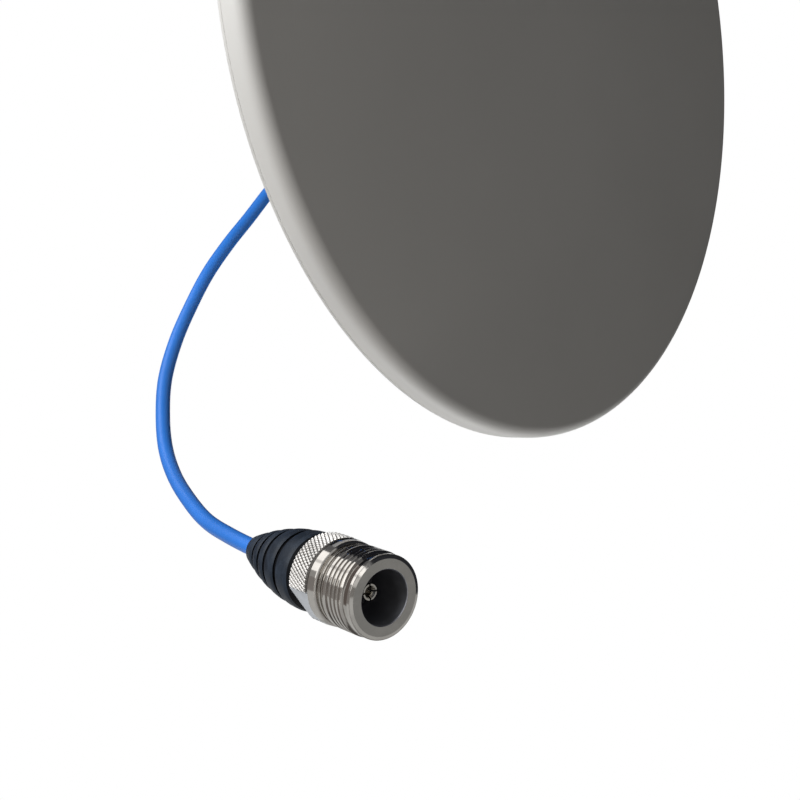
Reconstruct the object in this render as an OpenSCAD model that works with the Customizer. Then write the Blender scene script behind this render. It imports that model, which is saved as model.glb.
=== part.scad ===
// Flat ceiling antenna with a short coaxial cable that ends in a threaded jack.
// Millimetres. The origin is the centre of the ceiling face, and +Z points up into the ceiling.

/* [Disc] */
// Diameter of the disc
disc_d = 220; // [180:1:300]
// Height of the disc from ceiling face to front face
disc_h = 7.2; // [6.4:0.1:12]
// Radius of the rounded front edge
edge_r = 3.2; // [0.5:0.1:3.5]
// Thickness of the radome's front wall
face_t = 1.8; // [1.4:0.1:2.1]
// Thickness of the radome's side wall
side_t = 2.2; // [1.6:0.1:4]
// Bevel that marks the seam between radome and base plate
seam_bevel = 0.15; // [0.1:0.05:0.5]

/* [Base plate] */
// Thickness of the base plate
plate_t = 1.8; // [1.6:0.1:2.1]
// Height of the base plate's edge that shows at the rim
lip_h = 1; // [0.5:0.1:1.4]
// Gap between the base plate's spigot and the radome's side wall
spigot_gap = 0.2; // [0.05:0.05:0.5]
// Depth of the recess round the stud that takes the washer
recess_depth = 0.6; // [0.3:0.1:0.9]
// Gap round the washer in its recess
recess_gap = 1; // [0.5:0.1:3]

/* [Mounting stud] */
// Outer diameter of the stud's thread
stud_d = 20; // [18:0.5:24]
// Height of the stud above the ceiling face
stud_h = 24; // [22:0.5:36]
// How far the plain neck lies inside the thread's surface
neck_relief = 1; // [0.5:0.1:2]
// Length of plain neck left free above the nut
neck_spare = 1.4; // [0.5:0.1:4]
// Bore of the stud below the bushing
wire_bore_d = 8.4; // [7:0.2:9]

/* [Nut and washer] */
// Width of the nut across its flats
nut_af = 30; // [27:0.5:34]
// Height of the nut
nut_h = 7; // [5:0.5:9]
// Gap between the nut's bore and the stud's thread
nut_gap = 0.2; // [0.1:0.05:0.4]
// Diameter of the washer
washer_d = 37; // [36:0.5:50]
// Thickness of the washer
washer_t = 1.2; // [0.8:0.1:2]

/* [Cable gland] */
// Diameter of the rubber bushing
bushing_d = 10; // [9.2:0.2:12]
// Length of the bushing
bushing_l = 8; // [4:0.5:10]
// Gap between pieces that slide into each other
slip_gap = 0.05; // [0.02:0.01:0.1]
// Diameter of the gland cap
cap_d = 16; // [14:0.5:17.5]
// Height of the cap above the stud
cap_h = 3; // [2:0.5:6]
// Length of the cap's spigot in the stud
cap_spigot = 4; // [2:0.5:5]
// Count of grip notches round the cap
cap_notches = 8; // [4:1:12]

/* [Cover screws] */
// Count of cover screws
cover_screws_n = 6; // [3:1:12]
// Distance of the cover screws from the rim
cover_screw_inset = 10; // [8:0.5:20]
// Shank diameter of a cover screw
cover_screw_d = 2.2; // [1.6:0.1:2.6]
// Head diameter of a cover screw
cover_head_d = 4.2; // [3.6:0.1:5]
// Head height of a cover screw
cover_head_h = 0.9; // [0.6:0.1:1.1]
// Diameter of the radome's screw bosses
boss_d = 5.6; // [4.4:0.1:7]
// Front wall left under a screw hole
boss_floor = 1.2; // [0.8:0.1:1.3]

/* [Antenna board] */
// Gap between the board's edge and the screw bosses
board_gap = 6; // [1:0.5:15]
// Thickness of the board
board_t = 0.8; // [0.5:0.1:0.9]
// Height of the ribs and posts that carry the board
post_h = 0.5; // [0.3:0.1:0.6]
// Thickness of each copper foil
foil_t = 0.1; // [0.05:0.01:0.12]
// Width of bare board outside the foils
foil_margin = 10; // [8.5:0.5:25]
// Width of the slots in the lower foil
slot_w = 2; // [1:0.5:4]
// Length of the slots in the lower foil
slot_l = 34; // [15:1:40]
// Count of slots, and of shorting pins between them
slots_n = 4; // [2:1:8]
// Diameter of the shorting pins
short_d = 1.2; // [0.8:0.1:2]
// Distance of the shorting pins inside the foil's edge
short_inset = 8; // [3:0.5:15]

/* [Board screws] */
// Count of board screws
board_screws_n = 4; // [3:1:8]
// Distance of the board screws from the board's edge
board_screw_inset = 5; // [4.5:0.5:7]
// Shank diameter of a board screw
board_screw_d = 1.8; // [1.2:0.1:2]
// Head diameter of a board screw
board_head_d = 3.4; // [2.6:0.1:4]
// Head height of a board screw
board_head_h = 0.8; // [0.5:0.1:1]
// Diameter of the posts that the board screws go into
post_d = 5; // [4:0.1:6]
// Base plate left over a board screw
post_floor = 0.5; // [0.3:0.1:0.6]

/* [Feed] */
// Diameter of the feed ferrule's flange
feed_flange_d = 6.6; // [6:0.1:6.8]
// Thickness of the feed ferrule's flange
feed_flange_t = 0.9; // [0.6:0.1:1.5]
// Depth of the cable's seat in the feed ferrule
feed_seat = 4; // [2:0.5:6]
// Wall of the feed ferrule round the cable
feed_wall = 0.8; // [0.5:0.1:1.2]
// Diameter of the centre conductor
conductor_d = 0.94; // [0.7:0.02:1.2]
// Diameter of the insulation round the centre conductor
dielectric_d = 2; // [1.8:0.1:2.6]
// Diameter of the solder cone at its foot
solder_d = 3; // [2.2:0.1:4]
// Height of the solder cone
solder_h = 0.7; // [0.4:0.05:0.9]

/* [Cable] */
// Diameter of the cable
cable_d = 3.6; // [3.2:0.1:3.8]
// Gap round the cable where it passes through a piece
cable_gap = 0.1; // [0.05:0.01:0.3]

/* [Connector] */
// Lean of the hanging connector from straight down, in degrees
lean = 13; // [0:1:20]
// Direction of that lean, in degrees from +X
heading = 14; // [-40:1:40]
// Thread diameter of the jack
barrel_d = 15.88; // [15.6:0.02:16.2]
// Diameter of the jack's mouth
mouth_d = 10.2; // [9.6:0.1:10.8]
// Bevel round the front face
nose_bevel = 0.9; // [0.3:0.05:1.2]
// Length of the plain ring ahead of the thread
ring_l = 2.3; // [2:0.1:4]
// Pitch of the thread
thread_pitch = 1.06; // [0.8:0.02:1.3]
// Depth of the thread
thread_depth = 0.55; // [0.3:0.05:0.7]
// Count of thread crests
thread_n = 4; // [3:1:6]
// Length of the plain land behind the thread
land_l = 1.5; // [0.8:0.1:2.5]
// How much deeper the neck behind the land is than the thread
neck_extra = 0.15; // [0.05:0.05:0.4]
// Length of the neck behind the land
neck_l = 2.2; // [1.6:0.1:3]
// Width of the thin rib round the neck
neck_rib_w = 0.3; // [0.2:0.05:0.5]
// Diameter of the plain flange
flange_d = 16.4; // [16.2:0.1:17]
// Length of the plain flange
flange_l = 2.4; // [1.5:0.1:4]
// Diameter of the knurled collar
collar_d = 16.6; // [16.4:0.1:18]
// Length of the knurled collar
collar_l = 5.6; // [4:0.1:8]
// Bevel at the ends of the flange and the collar
collar_bevel = 0.35; // [0.1:0.05:0.6]
// Distance between the two wrench flats
flat_af = 14; // [13.6:0.1:16]
// Turn of the wrench flats about the connector's axis, in degrees
flat_turn = 9; // [0:1:180]
// Thickness of the insulator
insulator_t = 4; // [2:0.1:5]

/* [Centre contact] */
// Diameter of the contact
contact_d = 3.04; // [2.6:0.02:3.4]
// How far the contact's tip lies behind the front face
contact_recess = 4.3; // [2:0.1:5]
// Bore of the contact
contact_bore = 1.66; // [1.2:0.02:1.8]
// Diameter of the countersink at the contact's tip
contact_sink_d = 2.4; // [2:0.05:2.5]
// Depth of that countersink
contact_sink = 0.6; // [0.3:0.05:1]
// Length of the contact's slots
contact_slot_l = 4; // [2:0.1:4.8]
// Width of the contact's slots
contact_slot_w = 0.35; // [0.2:0.05:0.6]
// Turn of the contact's slots about the connector's axis, in degrees
contact_turn = 66; // [0:1:90]

/* [Boot and ferrule] */
// Length of the boot
boot_l = 23.6; // [18:0.1:28]
// Diameter of the boot next to the collar
boot_front_d = 15.4; // [14:0.1:16.4]
// Radial depth of the bevel at the boot's front
boot_bevel = 0.7; // [0.3:0.05:1.2]
// Length of that bevel
boot_bevel_l = 1.5; // [0.5:0.1:2.5]
// How long the boot stays wide before it tapers
boot_fullness = 1.18; // [0.9:0.02:1.6]
// Diameter of the boot at the cable
boot_tail_d = 5.5; // [5.2:0.1:7]
// Width of the grooves round the boot
boot_groove_w = 1.1; // [0.3:0.05:1.4]
// Depth of the grooves round the boot
boot_groove_depth = 0.7; // [0.3:0.05:0.8]
// Outer diameter of the cable ferrule
ferrule_d = 6; // [5.6:0.1:6.4]
// Diameter of the ferrule's head in the connector body
ferrule_head_d = 8; // [7.4:0.1:8.6]
// Length of the ferrule behind the collar
ferrule_l = 6; // [3:0.5:7]
// Length of the body's rear spigot inside the boot
spigot_l = 2.5; // [1:0.1:3.5]
// Wall of the body's rear spigot
spigot_wall = 1.6; // [1:0.1:2]

/* [Hidden] */
$fn = 96;
eps = 0.01;
disc_r = disc_d / 2;
wall_r = disc_r - side_t;
inner_z = -disc_h + face_t;
boss_ring = disc_r - cover_screw_inset;
hole_gap = 0.1;

// The nut lies on the washer, and the washer in its recess
washer_top = washer_t - recess_depth;
nut_top = washer_top + nut_h;
neck_top = nut_top + neck_spare;
stud_r = stud_d / 2;
recess_r = washer_d / 2 + recess_gap;
nut_bevel = 0.8;

// The bushing sits on the shoulder in the stud, under the cap's spigot
bushing_top = stud_h - cap_spigot;
bushing_z = bushing_top - bushing_l;
gland_top = stud_h + cap_h;
notch_d = 2;

// The board hangs under the base plate, on its ribs and posts
board_r = boss_ring - boss_d / 2 - board_gap;
board_top = -plate_t - post_h;
board_z = board_top - board_t;
foil_r = board_r - foil_margin;
lower_foil_z = board_z - foil_t;
post_ring = board_r - board_screw_inset;
rib_w = 1.2;
short_ring = foil_r - short_inset;
slot_start = short_ring - slot_l;

// The feed ferrule stands on the upper foil, and the cable in the ferrule's seat
feed_z = board_top + foil_t;
seat_z = feed_z + feed_flange_t;
seat_r = cable_d / 2 + cable_gap;
feed_r = seat_r + feed_wall;
pin_gap = 0.03;
pin_end = lower_foil_z - solder_h;

// Stations along the connector, measured back from the front face
thread_start = ring_l;
thread_end = thread_start + thread_n * thread_pitch;
land_end = thread_end + land_l;
neck_end = land_end + neck_l;
neck_rib_share = 0.58;
neck_rib = land_end + neck_rib_share * neck_l;
flange_end = neck_end + flange_l;
collar_end = flange_end + collar_l;
spigot_end = collar_end + spigot_l;
boot_end = collar_end + boot_l;
shoulder_back = 1.7;
shoulder = flange_end + shoulder_back;
mouth_depth = shoulder - insulator_t;
head_step = 1;
head_front = collar_end - head_step;
ferrule_end = collar_end + ferrule_l;
barrel_r = barrel_d / 2;
neck_r = barrel_r - thread_depth - neck_extra;
neck_rib_drop = 0.3;
neck_rib_r = barrel_r - neck_rib_drop;
crest_w = 0.22;
mouth_bevel = 0.3;
contact_collar_t = 0.8;
contact_collar_d = contact_d + 1;
stop_back = 1;
cable_stop = collar_end + stop_back;

// Middle of each groove round the boot, as shares of the boot's length
boot_grooves = [0.28, 0.485, 0.63, 0.78];

// The connector hangs from the cable at the boot's end, and the whole lead moves with the gland
lead_end = [167.8, -12.1, gland_top - 36.6];
jack_axis = [sin(lean) * cos(heading), sin(lean) * sin(heading), -cos(lean)];
jack = lead_end + boot_end * jack_axis;
function jack_point(back) = jack - back * jack_axis;

// The lead's free stretch over the disc's edge, with heights above the gland
free_lead = [
    [0, 0, 1], [2, -0.5, 12.5], [8, -2.5, 22.5], [17, -4, 30], [27.5, -5.5, 35], [39, -6, 37.5],
    [51, -6, 38], [62.5, -5.5, 37], [74.5, -4.5, 35.5], [86.5, -4.5, 34.5], [98, -5.5, 33],
    [109.5, -7, 31], [121, -9, 27.5], [131, -11, 22], [140.5, -13, 15], [148.5, -14, 6],
    [155, -14.5, -4], [160.5, -14, -14.5], [164.5, -13, -25.5]
];

// The cable's route: up through the stud, along the free stretch and down into the boot
route = concat(
    [[0, 0, seat_z], [0, 0, bushing_z], [0, 0, bushing_top]],
    [for (p = free_lead) p + [0, 0, gland_top]],
    [lead_end, jack_point(boot_end - 8), jack_point(cable_stop)]
);
cable_sides = 8;
cable_steps = 2;

// A straight round hole or rod from one height to another
module rod(d, z0, z1) {
    translate([0, 0, z0])
        cylinder(d = d, h = z1 - z0);
}

// A ring or disc from one height to another
module ring(outer_d, inner_d, z0, z1) {
    difference() {
        rod(outer_d, z0, z1);
        rod(inner_d, z0 - 1, z1 + 1);
    }
}

// Copies of a shape, evenly spaced on a circle
module around(count, radius, turn = 0) {
    for (i = [0 : count - 1])
        rotate([0, 0, turn + i * 360 / count])
            translate([radius, 0, 0])
                children();
}

// The connector's own frame: z = 0 is its front face, and +z points out of its mouth
module on_jack() {
    translate(jack)
        rotate([0, 180 - lean, heading])
            children();
}

module radome() {
    color("#dcdcd8")
        difference() {
            union() {
                rotate_extrude($fn = 180)
                    radome_profile();
                around(cover_screws_n, boss_ring)
                    rod(boss_d, inner_z - eps, -plate_t);
            }
            around(cover_screws_n, boss_ring)
                rod(cover_screw_d + hole_gap, -disc_h + boss_floor, 0);
        }
}

module radome_profile() {
    difference() {
        union() {
            translate([0, -disc_h])
                square([disc_r - edge_r, disc_h - lip_h]);
            translate([0, -disc_h + edge_r])
                square([disc_r, disc_h - edge_r - lip_h]);
            translate([disc_r - edge_r, -disc_h + edge_r])
                circle(edge_r);
        }
        translate([-1, inner_z])
            square([wall_r + 1, disc_h]);
        translate([-1, -lip_h])
            square([disc_r + 2, disc_h]);
        polygon([
            [disc_r - seam_bevel, -lip_h],
            [disc_r + 1, -lip_h + 1],
            [disc_r + 1, -lip_h - seam_bevel - 1]
        ]);
    }
}

module base_plate() {
    color("#d6d6d2")
        difference() {
            union() {
                rotate_extrude($fn = 180)
                    base_profile();
                around(board_screws_n, post_ring)
                    rod(post_d, board_top, -plate_t + eps);
            }
            around(cover_screws_n, boss_ring) {
                rod(cover_screw_d + 2 * hole_gap, -plate_t - 1, 1);
                rod(cover_head_d + 2 * hole_gap, -cover_head_h - hole_gap, 1);
            }
            around(board_screws_n, post_ring)
                rod(board_screw_d + hole_gap, board_top - 1, -post_floor);
        }
}

module base_profile() {
    difference() {
        union() {
            translate([0, -lip_h])
                square([disc_r, lip_h]);
            translate([0, -plate_t])
                square([wall_r - spigot_gap, plate_t]);
            translate([board_r - rib_w, board_top])
                square([rib_w, post_h + eps]);
        }
        translate([-1, -recess_depth])
            square([recess_r + 1, recess_depth + 1]);
        translate([-1, -plate_t - 1])
            square([wire_bore_d / 2 + 1, plate_t + 2]);
    }
    stud_profile();
}

module stud_profile() {
    difference() {
        union() {
            translate([wire_bore_d / 2, -plate_t])
                square([stud_r - neck_relief - wire_bore_d / 2, plate_t + stud_h]);
            translate([wire_bore_d / 2, neck_top])
                square([stud_r - wire_bore_d / 2, stud_h - neck_top]);
        }
        translate([0, bushing_z])
            square([bushing_d / 2, stud_h]);
    }
}

module cover_screws() {
    color("#b9bcc0")
        around(cover_screws_n, boss_ring)
            difference() {
                union() {
                    rod(cover_head_d, -cover_head_h - hole_gap, -hole_gap);
                    rod(cover_screw_d, -disc_h + boss_floor + hole_gap, -cover_head_h);
                }
                cross_recess(cover_head_d, -hole_gap, cover_head_h * 0.6);
            }
}

// A cross-shaped driver recess in a screw head
module cross_recess(head_d, top, depth) {
    for (turn = [0, 90])
        rotate([0, 0, turn])
            translate([-head_d * 0.3, -head_d * 0.07, top - depth])
                cube([head_d * 0.6, head_d * 0.14, depth + 1]);
}

module mounting_nut() {
    nut_r = nut_af / 2;
    corner_d = nut_af / cos(30);
    color("#e4e4e0")
        difference() {
            intersection() {
                translate([0, 0, washer_top])
                    cylinder(d = corner_d, h = nut_h, $fn = 6);
                rotate_extrude()
                    polygon([
                        [0, washer_top],
                        [nut_r, washer_top],
                        [nut_r + 2 * nut_bevel, washer_top + nut_bevel],
                        [nut_r + 2 * nut_bevel, nut_top - nut_bevel],
                        [nut_r, nut_top],
                        [0, nut_top]
                    ]);
            }
            rod(stud_d + 2 * nut_gap, washer_top - 1, nut_top + 1);
        }
}

module nut_washer() {
    color("#c9ccd0")
        ring(washer_d, stud_d + 2 * nut_gap, -recess_depth, washer_top);
}

module gland_cap() {
    color("#dededa")
        difference() {
            union() {
                rod(cap_d, stud_h, gland_top);
                rod(bushing_d - 2 * slip_gap, bushing_top, stud_h + eps);
            }
            rod(cable_d + 4 * cable_gap, bushing_top - 1, gland_top + 1);
            around(cap_notches, cap_d / 2)
                rod(notch_d, stud_h - 1, gland_top + 1);
        }
}

module cable_bushing() {
    color("#26272a")
        ring(bushing_d - 2 * slip_gap, cable_d + 2 * cable_gap, bushing_z, bushing_top);
}

module antenna_board() {
    color("#c8b48a")
        difference() {
            rod(2 * board_r, board_z, board_top);
            rod(conductor_d + 2 * pin_gap, board_z - 1, board_top + 1);
            around(board_screws_n, post_ring)
                rod(board_screw_d + 2 * hole_gap, board_z - 1, board_top + 1);
            around(slots_n, short_ring, 180 / slots_n)
                rod(short_d + 2 * pin_gap, board_z - 1, board_top + 1);
        }
}

module upper_foil() {
    color("#c98a55")
        ring(2 * foil_r, dielectric_d, board_top, board_top + foil_t);
}

module lower_foil() {
    color("#c98a55")
        difference() {
            ring(2 * foil_r, conductor_d + 2 * pin_gap, lower_foil_z, board_z);
            around(slots_n, slot_start)
                translate([0, -slot_w / 2, lower_foil_z - 1])
                    cube([slot_l, slot_w, foil_t + 2]);
        }
}

module shorting_pins() {
    color("#d8b25c")
        around(slots_n, short_ring, 180 / slots_n)
            rod(short_d, board_z, board_top);
}

module board_screws() {
    color("#d8d8d2")
        around(board_screws_n, post_ring) {
            rod(board_head_d, board_z - board_head_h, board_z);
            rod(board_screw_d, board_z - eps, -post_floor - hole_gap);
        }
}

module foam_pad() {
    color("#f1f0ea")
        difference() {
            rod(2 * foil_r, inner_z, lower_foil_z);
            rod(solder_d + 1, inner_z - 1, lower_foil_z + 1);
        }
}

module feed_ferrule() {
    color("#c9a04a")
        difference() {
            union() {
                rod(feed_flange_d, feed_z, seat_z);
                rod(2 * feed_r, feed_z, seat_z + feed_seat);
            }
            rod(dielectric_d, feed_z - 1, seat_z + 1);
            rod(2 * seat_r, seat_z, seat_z + feed_seat + 1);
        }
}

module feed_pin() {
    color("#d9d4cc")
        rod(conductor_d, pin_end, seat_z);
}

module feed_solder() {
    color("#b8bbbf")
        difference() {
            translate([0, 0, pin_end])
                cylinder(d1 = conductor_d + 0.6, d2 = solder_d, h = solder_h);
            rod(conductor_d + 2 * pin_gap, pin_end - 1, lower_foil_z + 1);
        }
}

// A point on the smooth curve through four route points, between the middle two
function blend_point(a, b, c, d, t) =
    b + t / 2 * (c - a + t * (2 * a - 5 * b + 4 * c - d + t * (3 * (b - c) + d - a)));

// The route with a mirrored point added at each end
function padded(points) =
    let (last = len(points) - 1)
    concat([2 * points[0] - points[1]], points, [2 * points[last] - points[last - 1]]);

// The smooth centreline, with a few steps to each stretch between two route points
function centreline(points, steps) =
    let (p = padded(points), last = len(points) - 1)
    concat(
        [for (i = [0 : last - 1], s = [0 : steps - 1])
            blend_point(p[i], p[i + 1], p[i + 2], p[i + 3], s / steps)],
        [points[last]]
    );

function unit(v) = v / norm(v);

// The centreline's direction at one of its points
function heading_at(line, i) =
    unit(line[min(i + 1, len(line) - 1)] - line[max(i - 1, 0)]);

// Side vectors carried along the line without twist, each at right angles to its direction
function carried(line, i, side) =
    let (along = heading_at(line, i), here = unit(side - (side * along) * along))
    i == len(line) - 1 ? [here] : concat([here], carried(line, i + 1, here));

module coax_cable() {
    line = centreline(route, cable_steps);
    sides = carried(line, 0, [0, 1, 0]);
    rings = len(line);
    points = [for (i = [0 : rings - 1], k = [0 : cable_sides - 1])
        let (up = cross(heading_at(line, i), sides[i]), turn = k * 360 / cable_sides)
        line[i] + cable_d / 2 * (cos(turn) * sides[i] + sin(turn) * up)];
    walls = [for (i = [0 : rings - 2], k = [0 : cable_sides - 1])
        let (a = i * cable_sides, b = a + cable_sides, n = (k + 1) % cable_sides)
        [a + k, b + k, b + n, a + n]];
    start = [for (k = [0 : cable_sides - 1]) k];
    finish = [for (k = [cable_sides - 1 : -1 : 0]) (rings - 1) * cable_sides + k];
    color("#2f6fe0")
        polyhedron(points, concat([start], walls, [finish]), convexity = 8);
}

// Radius of the boot at a share of its length, from the collar to the cable
function boot_r(share) =
    (boot_tail_d + (boot_front_d - boot_tail_d) * cos(90 * pow(share, boot_fullness))) / 2;

module connector_boot() {
    bevel_share = boot_bevel_l / boot_l;
    shares = [for (i = [0 : 24]) bevel_share + (1 - bevel_share) * i / 24];
    outline = concat(
        [[boot_r(0) - boot_bevel, -collar_end]],
        [for (share = shares) [boot_r(share), -collar_end - boot_l * share]]
    );
    color("#1d1f24")
        on_jack()
            difference() {
                rotate_extrude()
                    difference() {
                        polygon(concat(outline, [[0, -boot_end], [0, -collar_end]]));
                        for (share = boot_grooves)
                            translate([
                                boot_r(share) - boot_groove_depth,
                                -collar_end - boot_l * share - boot_groove_w / 2
                            ])
                                square([boot_front_d, boot_groove_w]);
                    }
                rod(ferrule_head_d + 2 * spigot_wall, -spigot_end, -collar_end + 1);
                rod(ferrule_d + 2 * slip_gap, -ferrule_end, -collar_end + 1);
                rod(cable_d + 6 * cable_gap, -boot_end - 1, -collar_end + 1);
            }
}

module cable_ferrule() {
    color("#c9a04a")
        on_jack()
            difference() {
                union() {
                    rod(ferrule_head_d - 2 * slip_gap, -spigot_end, -head_front);
                    rod(ferrule_d, -ferrule_end, -head_front);
                }
                rod(cable_d + 2 * cable_gap, -ferrule_end - 1, -cable_stop);
                rod(dielectric_d, -cable_stop - 1, 0);
            }
}

// Thread crests and roots as points of the body's outline
function thread_outline() = [for (i = [0 : thread_n - 1], edge = [0 : 2])
    let (crest = thread_start + (i + 0.5) * thread_pitch)
    edge == 0 ? [barrel_r, -crest + crest_w / 2] :
    edge == 1 ? [barrel_r, -crest - crest_w / 2] :
    [barrel_r - thread_depth, -crest - thread_pitch / 2]];

module connector_body() {
    outer = concat(
        [[mouth_d / 2 + mouth_bevel, 0], [barrel_r - nose_bevel, 0], [barrel_r, -nose_bevel]],
        [[barrel_r, -thread_start + thread_depth / 2], [barrel_r - thread_depth, -thread_start]],
        thread_outline(),
        [[barrel_r, -thread_end - thread_depth / 2], [barrel_r, -land_end], [neck_r, -land_end]],
        [[neck_r, -neck_rib + neck_rib_w / 2], [neck_rib_r, -neck_rib + neck_rib_w / 2]],
        [[neck_rib_r, -neck_rib - neck_rib_w / 2], [neck_r, -neck_rib - neck_rib_w / 2]],
        [[neck_r, -neck_end]],
        [[flange_d / 2 - collar_bevel, -neck_end], [flange_d / 2, -neck_end - collar_bevel]],
        [[flange_d / 2, -flange_end], [collar_d / 2 - collar_bevel, -flange_end]],
        [[collar_d / 2, -flange_end - collar_bevel], [collar_d / 2, -collar_end + collar_bevel]],
        [[collar_d / 2 - collar_bevel, -collar_end]],
        [[ferrule_head_d / 2 + spigot_wall - slip_gap, -collar_end]],
        [[ferrule_head_d / 2 + spigot_wall - slip_gap, -spigot_end]]
    );
    inner = [
        [ferrule_head_d / 2, -spigot_end], [ferrule_head_d / 2, -head_front],
        [ferrule_d / 2, -head_front], [ferrule_d / 2, -shoulder],
        [mouth_d / 2, -shoulder], [mouth_d / 2, -mouth_bevel]
    ];
    color("#b4b3ae")
        on_jack()
            difference() {
                rotate_extrude()
                    polygon(concat(outer, inner));
                for (side = [0, 180])
                    rotate([0, 0, flat_turn + side])
                        translate([flat_af / 2, -collar_d / 2, -collar_end - eps])
                            cube([collar_d, collar_d, collar_l + eps]);
            }
}

module connector_insulator() {
    color("#3a3a3c")
        on_jack()
            ring(mouth_d - 2 * slip_gap, contact_d + 2 * pin_gap, -shoulder, -mouth_depth);
}

module centre_contact() {
    color("#cfcac0")
        on_jack()
            difference() {
                union() {
                    rod(contact_d, -shoulder, -contact_recess);
                    rod(contact_collar_d, -shoulder - contact_collar_t, -shoulder);
                    rod(dielectric_d - 2 * slip_gap, -cable_stop, -shoulder);
                }
                rod(contact_bore, -contact_recess - contact_slot_l - 1, 0);
                translate([0, 0, -contact_recess - contact_sink])
                    cylinder(d1 = contact_bore, d2 = contact_sink_d, h = contact_sink + eps);
                for (turn = [0, 90])
                    rotate([0, 0, contact_turn + turn])
                        translate([-contact_d, -contact_slot_w / 2, -contact_recess - contact_slot_l])
                            cube([2 * contact_d, contact_slot_w, contact_slot_l + 1]);
            }
}

radome();
base_plate();
cover_screws();
mounting_nut();
nut_washer();
gland_cap();
cable_bushing();
antenna_board();
upper_foil();
lower_foil();
shorting_pins();
board_screws();
foam_pad();
feed_ferrule();
feed_pin();
feed_solder();
coax_cable();
connector_boot();
cable_ferrule();
connector_body();
connector_insulator();
centre_contact();
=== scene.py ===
import math

import bmesh
import bpy
from mathutils import Matrix, Vector


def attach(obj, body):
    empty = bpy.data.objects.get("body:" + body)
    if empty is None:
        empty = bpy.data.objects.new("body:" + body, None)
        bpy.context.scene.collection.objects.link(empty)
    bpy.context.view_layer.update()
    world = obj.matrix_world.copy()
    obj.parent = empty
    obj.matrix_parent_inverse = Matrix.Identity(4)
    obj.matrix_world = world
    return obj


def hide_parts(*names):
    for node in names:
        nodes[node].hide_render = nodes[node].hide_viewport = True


MM = 0.001

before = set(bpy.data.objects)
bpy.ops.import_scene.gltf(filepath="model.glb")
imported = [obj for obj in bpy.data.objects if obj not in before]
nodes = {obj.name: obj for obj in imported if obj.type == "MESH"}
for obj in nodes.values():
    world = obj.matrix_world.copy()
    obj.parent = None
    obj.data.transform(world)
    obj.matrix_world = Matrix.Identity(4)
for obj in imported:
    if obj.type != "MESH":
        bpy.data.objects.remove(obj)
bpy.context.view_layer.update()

# The camera in metres, fitted to the disc's outline and the jack's round face in the photograph
CAMERA_AT = (0.27191, 0.13956, -0.19978)
CAMERA_RIGHT = (-0.43996, -0.46874, -0.76598)
CAMERA_UP = (-0.72485, 0.68889, -0.00523)
CAMERA_FORWARD = (-0.53012, -0.55292, 0.64285)


def camera_matrix():
    rows = []
    for i in range(3):
        rows.append((CAMERA_RIGHT[i], CAMERA_UP[i], -CAMERA_FORWARD[i], CAMERA_AT[i]))
    rows.append((0, 0, 0, 1))
    return Matrix(rows)


camera_data = bpy.data.cameras.new("camera")
camera_data.sensor_width = 36
camera_data.lens = 58.5
camera_data.clip_start = 0.01
camera = bpy.data.objects.new("camera", camera_data)
camera.matrix_world = camera_matrix()
bpy.context.scene.collection.objects.link(camera)
bpy.context.scene.camera = camera
bpy.context.scene.view_settings.view_transform = "Standard"

# The disc and its stud, with the sizes of the solids
DISC_R = 110.0
DISC_H = 7.2
EDGE_R = 3.2
LIP_H = 1.0
SEAM_BEVEL = 0.15
SIDE_T = 2.2
FACE_T = 1.8
WALL_R = DISC_R - SIDE_T
INNER_Z = -DISC_H + FACE_T
PLATE_T = 1.8
SPIGOT_GAP = 0.2
COVER_SCREWS = 6
SCREW_INSET = 10.0
BOSS_RING = DISC_R - SCREW_INSET
BOSS_R = 2.8
BOSS_BORE_R = 1.15
SCREW_HOLE_R = 1.2
SCREW_HEAD_R = 2.2
SCREW_HEAD_DEPTH = 1.0
RECESS_R = 19.5
RECESS_DEPTH = 0.6
STUD_R = 10.0
STUD_H = 24.0
STUD_NECK_RELIEF = 1.0
STUD_NECK_R = STUD_R - STUD_NECK_RELIEF
STUD_NECK_TOP = 9.0
WIRE_R = 4.2
CAP_H = 3.0
CAP_SPIGOT = 4.0
GLAND_TOP = STUD_H + CAP_H
BUSHING_R = 5.0
BUSHING_L = 8.0
BUSHING_TOP = STUD_H - CAP_SPIGOT
BUSHING_Z = BUSHING_TOP - BUSHING_L

# The connector with the sizes of the solids, measured back from its front face
LEAN = math.radians(13)
HEADING = math.radians(14)
BARREL_R = 7.94
MOUTH_R = 5.1
BORE_R = 3.0
THREAD_START = 2.3
THREAD_DEPTH = 0.55
LAND_END = 8.04
NECK_L = 2.2
NECK_EXTRA = 0.15
NECK_R = BARREL_R - THREAD_DEPTH - NECK_EXTRA
NECK_END = LAND_END + NECK_L
NECK_RIB_SHARE = 0.58
NECK_RIB = LAND_END + NECK_RIB_SHARE * NECK_L
NECK_RIB_DROP = 0.3
NECK_RIB_R = BARREL_R - NECK_RIB_DROP
NECK_RIB_W = 0.3
FLANGE_R = 8.2
FLANGE_L = 2.4
FLANGE_END = NECK_END + FLANGE_L
SHOULDER_BACK = 1.7
SHOULDER = FLANGE_END + SHOULDER_BACK
COLLAR_R = 8.3
COLLAR_L = 5.6
COLLAR_END = FLANGE_END + COLLAR_L
COLLAR_BEVEL = 0.35
FLAT = 7.0
FLAT_TURN = math.radians(9)
SPIGOT_R = 5.55
SPIGOT_L = 2.5
SPIGOT_END = COLLAR_END + SPIGOT_L
FERRULE_HEAD_R = 4.0
FERRULE_SEAT = COLLAR_END - 1.0
BOOT_L = 23.6
BOOT_FRONT_R = 7.7
BOOT_TAIL_R = 2.75
BOOT_FULLNESS = 1.18
BOOT_BEVEL = 0.7
BOOT_BEVEL_L = 1.5
BOOT_GROOVES = (0.28, 0.485, 0.63, 0.78)
GROOVE_DEPTH = 0.7
GROOVE_W = 1.1
BOOT_END = COLLAR_END + BOOT_L

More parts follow.
